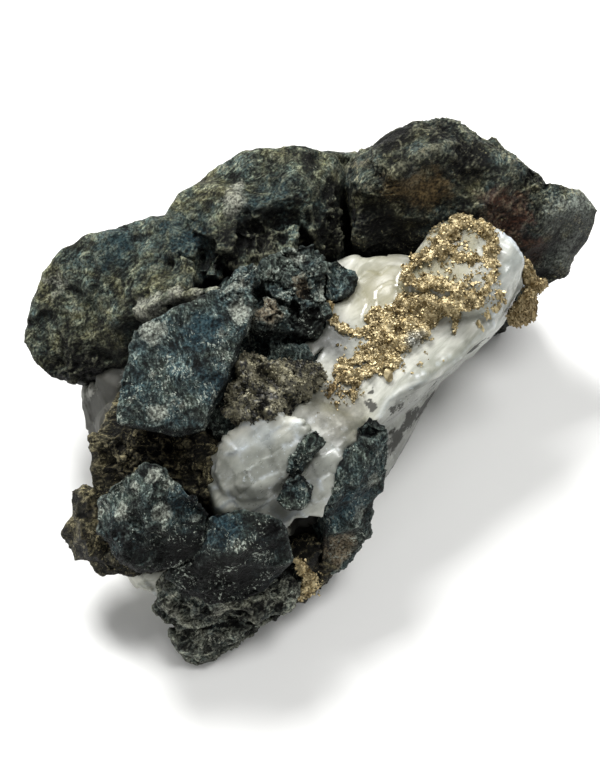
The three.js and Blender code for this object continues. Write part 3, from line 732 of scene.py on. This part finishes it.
height += 0.2 * on_flank * swells(flute, 2.4, 42, crested=True)
height += 0.22 * near(points, [(12, 12, 33, 9)], times=2) * (rings - np.floor(rings) - 0.5)
height += 0.45 * (1 - 0.95 * grown_face) * block_height
cut_back = side_face * ramp(under_crest, 0, 1.5) * (1 - on_flank)
height -= 1.6 * near(points, [(37, 11, 30, 8)], times=1.5) + cut_back
raise_by(calcite, height)
with_modifier(calcite, "SMOOTH", factor=0.4, iterations=1)
paint_relief(calcite, 0.3)

# Where it is clear, cracked and honey coloured; where it has stains and where shade is painted on it; and
# where highlights are painted white on it.
clear = near(points, [(-5, -22, 29, 13), (2, -18, 30, 8), (2, 3, 32, 6), (3, -10.5, 31.5, 6)], times=1.4)
paint(calcite, "clear", np.maximum(clear, 0.8 * side_face * (1 - on_flank)))
paint(calcite, "block", block_tone)
paint(calcite, "crack", (1 - grown_face) * (1 - crack_mm / 0.55))
honey = near(points, [(12, 12, 33, 10), (21, 13, 37, 9), (24, 18, 38, 9), (4, -9.5, 31.5, 7)], times=1.5)
paint(calcite, "honey", honey)

points = points_of(calcite.data)
blotted = shaken(points, 1.0, 1.3, 47, octaves=4, fall=0.75)
# Dark smudges: stains on the side face and the left, darker along the side face's lower edge, and painted
# shade in the cavity at the front.
smudges_and_shade = near(blotted, [
    (13.6, -8.6, 28.6, 1.5), (14.6, -7.4, 27, 1.2), (-1.5, -22, 13.5, 6), (22, -1, 20, 3), (28, 7, 22, 3),
    (15.2, -4, 10, 3.5), (17.9, -0.4, 10.6, 3.5), (20.8, 3.9, 8.2, 4), (-35.5, -4, 20, 6), (-36, 0, 24, 6),
    (-37.5, -2, 13, 6), (-36, -1.5, 17.5, 4), (29.5, 11, 35, 1.0),
], times=2.3)
specks = near(0.5 * (points + blotted), [
    (9.6, -8.5, 30.6, 0.8), (9.0, -8.2, 30.7, 0.6), (9.5, -9.2, 30.4, 0.6), (9.5, -6.4, 31.2, 0.5),
], times=4)
dusty = 0.4 * near(points, [(4, -9.5, 31.5, 8), (3, 1, 32, 7)], times=2)
# Dull, darker calcite on the left; at the back, in the cleft between the blocks, it is painted shade.
dull_and_shaded = np.minimum(near(points, [(-35, 0, 16, 22), (8, 34, 30, 14), (16, -11, 27, 3.5)], times=1.8), 0.62)
x, y, z = points.T / MM
# Darker towards the bottom; and painted shade towards the back, where the calcite lies deep in the cleft.
low_down = np.clip((22 - z) / 45, 0, 0.28)
at_the_back = 0.35 * ramp(y, 24, 1)
paint(calcite, "stain_and_shade", np.max([smudges_and_shade, specks, dusty, dull_and_shaded, low_down + at_the_back], axis=0))

# A painted highlight runs along the crest; the dome's flank and the small glints listed here are painted
# white as highlights too.
crest_line = [
    (*(np.array(start) + share * (np.array(end) - start)), 0.9)
    for start, end in zip(CREST, CREST[1:]) for share in (0, 0.25, 0.5, 0.75)
]
painted_glints = near(points, [
    (-0.4, -12.1, 31.8, 0.8), (2, -12.6, 31.3, 0.7), (5.2, -13.1, 30.9, 0.8), (-2.8, -14.8, 35.4, 1.2),
    (3.8, 2.2, 32.4, 0.9), (17, -3.5, 31, 0.6), (18, -2.8, 31, 0.6), (20.5, -0.8, 30.5, 0.6),
    (21.5, 0, 30.5, 0.7), (22.5, 0.9, 30.4, 0.6), (30, 17, 38, 4), (33, 15, 35, 4), (-8, -15.7, 34, 3),
    (-11, -17, 33, 2),
], times=2)
paint(calcite, "painted_highlight", np.max([painted_glints, 0.9 * near(points, crest_line), 0.85 * on_flank], axis=0))


def build_calcite(spar):
    # Milky where it is full of tiny cracks and bubbles, grey and deep where it is clear; honey coloured
    # under the silver; dull brown where grime has settled in it, and the same dark brown is painted as shade
    # in the cleft at the back and in the front cavity, and laid on more towards the bottom.
    place = add(spar, "TexCoord", output="Object")
    lie = {"Vector": place, "Rotation": (0, 0, math.radians(45)), "Scale": (3.5, 1, 1)}
    laid = add(spar, "Mapping", lie, vector_type="TEXTURE")
    pattern = {"Vector": laid, "Scale": per_mm(3), "Detail": 6, "Roughness": 0.6, "Distortion": 0.6}
    veil = add(spar, "TexNoise", pattern)
    milky = add(spar, "MapRange", [veil, 0.36, 0.62], interpolation_type="SMOOTHSTEP")
    colour = add(spar, "Mix", [milky, rgb("8a8c80"), rgb("b9b9ae")], data_type="RGBA")

    clear = add(spar, "Attribute", output="Fac", attribute_name="clear")
    block = add(spar, "Attribute", output="Fac", attribute_name="block")
    cloud = add(spar, "TexNoise", {"Vector": place, "Scale": per_mm(4), "Detail": 5, "Roughness": 0.65})
    deep = add(spar, "Math", [block, 0.45, cloud], operation="MULTIPLY_ADD")
    deep = add(spar, "MapRange", [deep, 0.4, 1.0])
    deep = add(spar, "Mix", [deep, rgb("63665e"), rgb("bcbfb6")], data_type="RGBA")
    glassy = add(spar, "Math", [clear, veil], operation="SUBTRACT")
    glassy = add(spar, "MapRange", [glassy, -0.35, 0.25, 0, 0.9])
    colour = add(spar, "Mix", [glassy, colour, deep], data_type="RGBA")

    honey = add(spar, "Attribute", output="Fac", attribute_name="honey")
    share = add(spar, "MapRange", [honey, 0, 1, 0, 0.6])
    colour = add(spar, "Mix", [share, colour, rgb("87805d")], data_type="RGBA")
    veins = add(spar, "TexNoise", {"Vector": laid, "Scale": per_mm(0.9), "Detail": 5, "Roughness": 0.75})
    veins = add(spar, "MapRange", [veins, 0.36, 0.6, 0.9, 1.04])
    colour = add(spar, "Mix", [1.0, colour, veins], data_type="RGBA", blend_type="MULTIPLY")

    stain_and_shade = add(spar, "Attribute", output="Fac", attribute_name="stain_and_shade")
    dirt_and_shade = add(spar, "TexNoise", {"Vector": place, "Scale": per_mm(2.2), "Detail": 6, "Roughness": 0.7})
    dirt_and_shade = add(spar, "Math", [dirt_and_shade, 0.9, stain_and_shade], operation="MULTIPLY_ADD")
    dirt_and_shade = add(spar, "MapRange", [dirt_and_shade, 0.68, 1.2, 0, 0.92])
    colour = add(spar, "Mix", [dirt_and_shade, colour, rgb("222119")], data_type="RGBA")

    # White: painted highlights on raised edges where they are marked, along the crest and over the dome's
    # flank, and in small painted glints; and along cracks, pale in themselves and painted brighter as if
    # catching the light.
    relief = add(spar, "Attribute", output="Fac", attribute_name="relief")
    painted_highlight = add(spar, "Attribute", output="Fac", attribute_name="painted_highlight")
    crack = add(spar, "Attribute", output="Fac", attribute_name="crack")
    crest = add(spar, "MapRange", [relief, 0.6, 1.0, 0.15])
    crest = add(spar, "Math", [crest, painted_highlight], operation="MULTIPLY")
    share = add(spar, "MapRange", [cloud, 0.5, 0.62, 0, 0.35])
    split = add(spar, "Math", [crack, share], operation="MULTIPLY")
    glint = add(spar, "TexNoise", {"Vector": place, "Scale": per_mm(0.7), "Detail": 3, "Roughness": 0.6})
    glint = add(spar, "MapRange", [glint, 0.64, 0.69, 0, 0.5])
    glint = add(spar, "Math", [glint, clear], operation="MULTIPLY")
    white = add(spar, "Math", [crest, split], operation="ADD")
    white = add(spar, "Math", [white, glint], operation="ADD")
    white = add(spar, "MapRange", [white, 0, 0.6, 0, 0.8])
    clean = add(spar, "MapRange", [dirt_and_shade, 0, 0.5, 1.0, 0.1])
    white = add(spar, "Math", [white, clean], operation="MULTIPLY")
    colour = add(spar, "Mix", [white, colour, rgb("d9e3ec")], data_type="RGBA")

    ripple = add(spar, "TexNoise", {"Vector": laid, "Scale": per_mm(1.2), "Detail": 6, "Roughness": 0.7})
    normal = add(spar, "Bump", {"Height": ripple, "Strength": 0.3, "Distance": 0.12 * MM})
    satin = add(spar, "MapRange", [ripple, 0.5, 0.62, 0.55, 0.3])
    polished = add(spar, "Math", [glassy, honey], operation="MAXIMUM")
    polished = add(spar, "Math", [polished, painted_highlight], operation="MAXIMUM")
    roughness = add(spar, "Mix", [polished, satin, 0.27])
    roughness = add(spar, "Mix", [dirt_and_shade, roughness, 0.75])
    see_through = add(spar, "MapRange", [glassy, 0, 1, 0, 0.3])
    return {
        "Base Color": colour, "Roughness": roughness, "Normal": normal, "IOR": 1.6,
        "Transmission Weight": see_through, "Subsurface Weight": 0.5,
        "Subsurface Radius": (1.0, 0.97, 0.88), "Subsurface Scale": 1.5 * MM,
    }


dress(calcite, "calcite", surface_of("milky_calcite", build_calcite))

# Grey moss: a crust of silver grains tarnished grey and brown, grown through with rock dust. It
# sits under the slab's right edge as a pitted cushion. Its grains are drawn coarser than life.
STRAY_REACH_MM = 1.5  # a stray further than this from the ground is left out
DRAWN_OUT = 2.6  # how much longer a drawn crystal is


def crystals_on(body, seed, count, size_mm, shapes, strays=(), ground=None, drawn=None):
    """Crowds small crystals over a body, some of them standing out in short chains.

    Strays are a place, their spread and their number, and they sit on the ground beside the body.
    Where `drawn` is a direction, the crystals are long and lie that way.
    """
    rng = np.random.default_rng(seed)
    points, normals = points_of(body.data), normals_of(body.data)
    seats = []
    for i in rng.integers(0, len(points), count):
        seats.append((points[i] + normals[i] * MM * rng.normal(0.06, 0.1), size_mm * rng.lognormal(0, 0.3)))
    for i in rng.integers(0, len(points), count // 25):  # one in 25 starts a chain
        way = normals[i] + rng.normal(0, 0.5, 3)
        way /= np.linalg.norm(way)
        size, place = size_mm * rng.uniform(0.8, 1.1), points[i]
        for _ in range(rng.integers(2, 5)):
            seats.append((place, size))
            place = place + way * size * 1.2 * MM
            way = way + rng.normal(0, 0.25, 3)
            size *= 0.86
    for x, y, z, spread, number in strays:
        for way in rng.normal(0, spread / 2, (number, 3)):
            hit, normal, _, away = ground.find_nearest((Vector((x, y, z)) + Vector(way)) * MM)
            if away < STRAY_REACH_MM * MM:
                size = size_mm * rng.lognormal(0.1, 0.35)
                seat = np.array(hit + normal * 0.1 * MM)
                for _ in range(rng.integers(1, 5)):
                    seats.append((seat + rng.normal(0, 0.9 * size, 3) * MM, size))
    grown = bmesh.new()
    grown.from_mesh(body.data)
    for start in range(0, len(seats), 200):  # in batches, because a large bmesh grows slowly
        batch = bmesh.new()
        for place, size in seats[start : start + 200]:
            turn = Euler(rng.uniform(0, 2 * math.pi, 3))
            stretch = Vector(rng.uniform(0.55, 1.15, 3)) * size * MM
            if drawn:
                turn = (Vector(drawn) + Vector(rng.normal(0, 0.25, 3))).to_track_quat("Z", "Y")
                stretch.z *= DRAWN_OUT
            shape = shapes[rng.integers(0, len(shapes))]
            shape(batch, Matrix.LocRotScale(Vector(place), turn, stretch))
        mesh = bpy.data.meshes.new("batch")
        batch.to_mesh(mesh)
        batch.free()
        grown.from_mesh(mesh)
        bpy.data.meshes.remove(mesh)
    grown.to_mesh(body.data)
    grown.free()


def octahedron(batch, matrix):
    bmesh.ops.create_uvsphere(batch, u_segments=4, v_segments=2, radius=1, matrix=matrix)


def cube(batch, matrix):
    bmesh.ops.create_cube(batch, size=1.5, matrix=matrix)


def plate(batch, matrix):
    flat = matrix @ Matrix.Diagonal((1.1, 1.1, 0.35, 1))
    bmesh.ops.create_cone(batch, segments=6, radius1=1, radius2=0.8, depth=1, cap_ends=True, matrix=flat)


moss = copy_of("grey_moss", "grey_moss_crust", cell_mm=0.32, worn=1)
points = points_of(moss.data)
pits = np.clip(swells(points, 3.2, 53, octaves=2) - 0.15, 0, 1)
raise_by(moss, 0.9 * breaks(points, 3.4, 50) + 0.6 * swells(points, 1.5, 51, octaves=2) - 3.0 * pits)
crystals_on(moss, 52, count=4200, size_mm=0.16, shapes=[octahedron, cube])
paint_relief(moss, 0.3)


def build_moss(metal):
    # Dull grains: grey to brown, a few still bright; between them, in the hollows, painted shade nearly
    # black.
    place = add(metal, "TexCoord", output="Object")
    grains = add(metal, "TexVoronoi", {"Vector": place, "Scale": per_mm(0.45)}, output="Color")
    broad = add(metal, "TexNoise", {"Vector": place, "Scale": per_mm(3), "Detail": 3})
    tone = add(metal, "Math", [grains, 0.5, broad], operation="MULTIPLY_ADD")
    tone = add(metal, "MapRange", [tone, 0.56, 1.02])
    colour = add(metal, "Mix", [tone, rgb("0d0d08"), rgb("99947b")], data_type="RGBA")
    relief = add(metal, "Attribute", output="Fac", attribute_name="relief")
    hollow = add(metal, "MapRange", [relief, 0.56, 0.2, 0, 0.92])
    colour = add(metal, "Mix", [hollow, colour, rgb("080806")], data_type="RGBA")
    bright = add(metal, "MapRange", [grains, 0.6, 0.8, 0, 0.7])
    return {"Base Color": colour, "Metallic": bright, "Roughness": 0.5}


dress(moss, "grey_moss", surface_of("tarnished_silver_grains", build_moss))

# Silver: small bright crystals crowded into a crust, some in short chains, grown on the open
# calcite. The nub is drawn out into spikes, and the toe is mostly strays.


def build_silver(metal):
    # A thin film of tarnish tones the metal pale gold, browner in the hollows.
    place = add(metal, "TexCoord", output="Object")
    film = add(metal, "TexNoise", {"Vector": place, "Scale": per_mm(2.5), "Detail": 5, "Roughness": 0.7})
    grains = add(metal, "TexVoronoi", {"Vector": place, "Scale": per_mm(0.7)}, output="Color")
    tone = add(metal, "Math", [grains, 0.5, film], operation="MULTIPLY_ADD")
    tone = add(metal, "MapRange", [tone, 0.5, 0.95])
    colour = add(metal, "Mix", [tone, rgb("80704e"), rgb("d6c8a2")], data_type="RGBA")
    relief = add(metal, "Attribute", output="Fac", attribute_name="relief")
    hollow = add(metal, "MapRange", [relief, 0.6, 0.15, 0, 0.92])
    colour = add(metal, "Mix", [hollow, colour, rgb("3f2d14")], data_type="RGBA")
    patchy = add(metal, "MapRange", [film, 0.4, 0.6, 0.5])
    for attribute, tint in (("browned", "5e4828"), ("greyed", "a3a5a0")):
        painted = add(metal, "Attribute", output="Fac", attribute_name=attribute)
        share = add(metal, "Math", [painted, patchy], operation="MULTIPLY")
        colour = add(metal, "Mix", [share, colour, rgb(tint)], data_type="RGBA")
    roughness = add(metal, "MapRange", [grains, 0, 1, 0.46, 0.66])
    return {"Base Color": colour, "Metallic": 1.0, "Roughness": roughness}


native_silver = surface_of("native_silver_crystals", build_silver)
calcite_ground = ground_of([calcite])
front_ground = ground_of([foot, hollow])


def silver_patch(node, name, seed, count, grown, lumps_mm, worn, strays, ground, size_mm=0.18, drawn=None):
    """A patch of silver: its solid, broken into lumps, with crystals over it and strays beside it."""
    body = copy_of(node, name, 0.26, worn)
    points = points_of(body.data)
    lumps = lumps_mm * breaks(points, 1.9, seed, tilt=0.3, bowl=0.9)
    raise_by(body, grown - lumps - 0.15 * breaks(points, 0.8, seed + 5, tilt=0.4))
    crystals_on(body, seed, count, size_mm, [octahedron, cube, plate], strays, ground, drawn)
    return body


def dress_silver(body, node, browned=()):
    """Paints what the silver's material reads, and gives the patch that material and its place."""
    paint_relief(body, 0.35)
    points = points_of(body.data)
    paint(body, "browned", near(points, browned))
    paint(body, "greyed", near(points, [(17.1, 2.2, 33, 2.5)], times=2))
    dress(body, node, native_silver, smooth=False)


crust = silver_patch(
    "silver_crust", "silver_crystals", 61, count=8000, grown=0.3, lumps_mm=0.45, worn=1,
    ground=calcite_ground,
    strays=[
        (22.5, 15, 38, 3, 60), (3.5, -6.5, 33, 2.5, 70), (6, -7, 33, 2.5, 60), (23, 17, 38, 4, 90),
        (26, 13, 36, 4, 80), (18, 9, 34, 5, 150), (14, 3, 33, 5, 150), (9, 0, 32, 4, 90), (27, 9, 35, 3, 40),
        (29.5, 12, 35, 1.5, 20), (21, 20, 38, 3, 50), (28, 19, 38, 2.5, 40), (6, 3, 33, 3, 30),
    ],
)

# One grain at the crust's lower edge is flattened to a small disc.
DISC_PLACE = Vector((12.2, -4.0, 32.2)) * MM
DISC_SIZE = Vector((0.75, 1.15, 0.25)) * MM
disc = bmesh.new()
disc.from_mesh(crust.data)
facing = Vector((0.2, -0.55, 0.8)).to_track_quat("Z", "Y")
disc_matrix = Matrix.LocRotScale(DISC_PLACE, facing, DISC_SIZE)
bmesh.ops.create_uvsphere(disc, u_segments=16, v_segments=8, radius=1, matrix=disc_matrix)
disc.to_mesh(crust.data)
disc.free()
dress_silver(crust, "silver_crust", browned=[(3.5, -7, 33, 5)])

nub = silver_patch(
    "silver_nub", "silver_nub_crystals", 62, count=1700, grown=0.5, lumps_mm=0.15, worn=4,
    size_mm=0.17, drawn=(0.25, -0.5, -0.8), ground=calcite_ground,
    strays=[(30.5, 10, 34, 1.6, 40), (30, 8.5, 33, 0.6, 10), (28.5, 6.5, 32, 0.7, 12)],
)
dress_silver(nub, "silver_nub", browned=[(36, 13, 28, 9)])
toe = silver_patch(
    "silver_toe", "silver_toe_crystals", 63, count=400, grown=0.3, lumps_mm=0.45, worn=1,
    ground=front_ground,
    strays=[(-1, -31, 9, 1.6, 220), (0, -30, 9.5, 1.4, 80)],
)
dress_silver(toe, "silver_toe")

# Floor and lights: a plain pale table of matt paper. Three soft boxes light it, the strongest from
# above and behind, over a dim white surround.
floor_mesh = bmesh.new()
bmesh.ops.create_grid(floor_mesh, x_segments=1, y_segments=1, size=1.5)
floor_data = bpy.data.meshes.new("floor")
floor_mesh.to_mesh(floor_data)
floor_mesh.free()
floor = bpy.data.objects.new("floor", floor_data)
bpy.context.collection.objects.link(floor)
pale_paper = {"Base Color": rgb("f2f2f0"), "Roughness": 0.9}
floor_data.materials.append(surface_of("pale_paper", lambda material: pale_paper))

world = bpy.data.worlds.new("studio")
bpy.context.scene.world = world
world.use_nodes = True
world.node_tree.nodes["Background"].inputs["Color"].default_value = rgb("ffffff")
world.node_tree.nodes["Background"].inputs["Strength"].default_value = 0.23

for name, place, size, watts in (
    ("back_softbox", (-0.25, 0.50, 0.75), 0.30, 11.5),
    ("high_softbox", (0.30, 0.10, 0.80), 0.30, 4.0),
    ("front_softbox", (-0.35, -0.60, 0.45), 0.40, 1.2),
):
    light_data = bpy.data.lights.new(name, "AREA")
    light_data.energy = watts
    light_data.size = size
    light = bpy.data.objects.new(name, light_data)
    light.location = place
    light.rotation_euler = (AIM - Vector(place)).to_track_quat("-Z", "Y").to_euler()
    bpy.context.collection.objects.link(light)
bpy.context.scene.view_settings.view_transform = "Standard"
